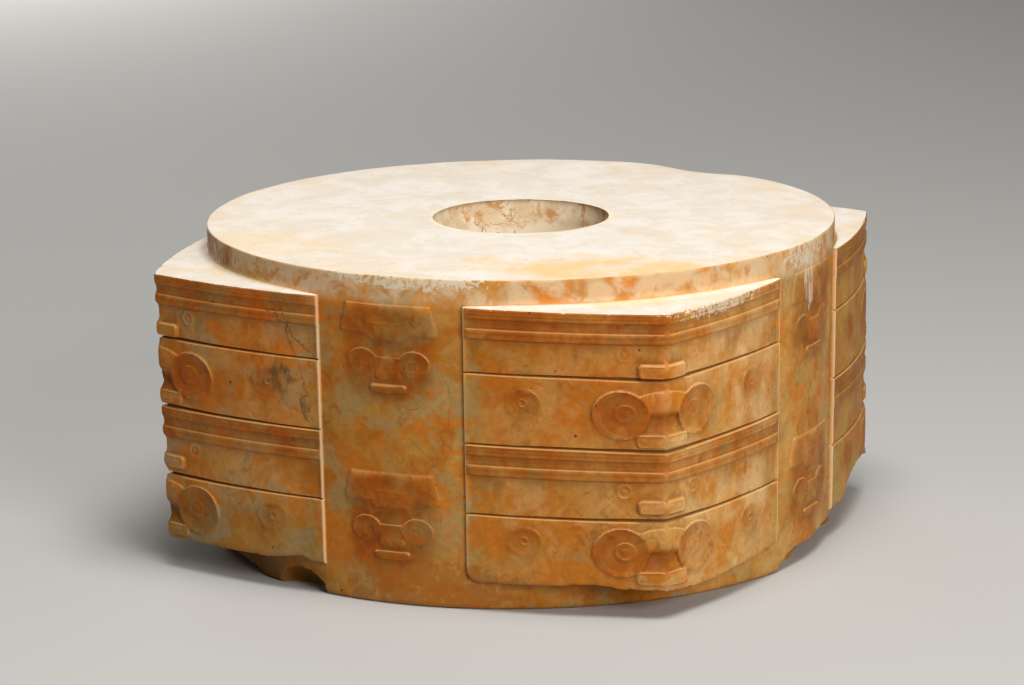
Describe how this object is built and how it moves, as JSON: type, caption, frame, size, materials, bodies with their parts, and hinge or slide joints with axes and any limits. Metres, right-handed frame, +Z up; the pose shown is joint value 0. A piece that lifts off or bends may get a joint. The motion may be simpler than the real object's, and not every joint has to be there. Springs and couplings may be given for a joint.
{
  "type": "jade cong",
  "caption": "Low, wide jade cong: a round bored tube with square-cornered blocks at its four corners, carved in registers with small-eyed and large-eyed masks.",
  "frame": {"origin": "middle of the underside, where the axis of the bore meets the surface that it rests on", "axes": "+Z up along the bore, X and Y through the middles of the upright grooves, with one groove facing -Y"},
  "size_m": [0.1744, 0.1744, 0.089],
  "materials": {
    "aged_jade": "polished nephrite, aged to mottled ochre, rust and cream"
  },
  "bodies": {
    "root": {"jade_cong": "aged_jade"}
  },
  "joints": []
}
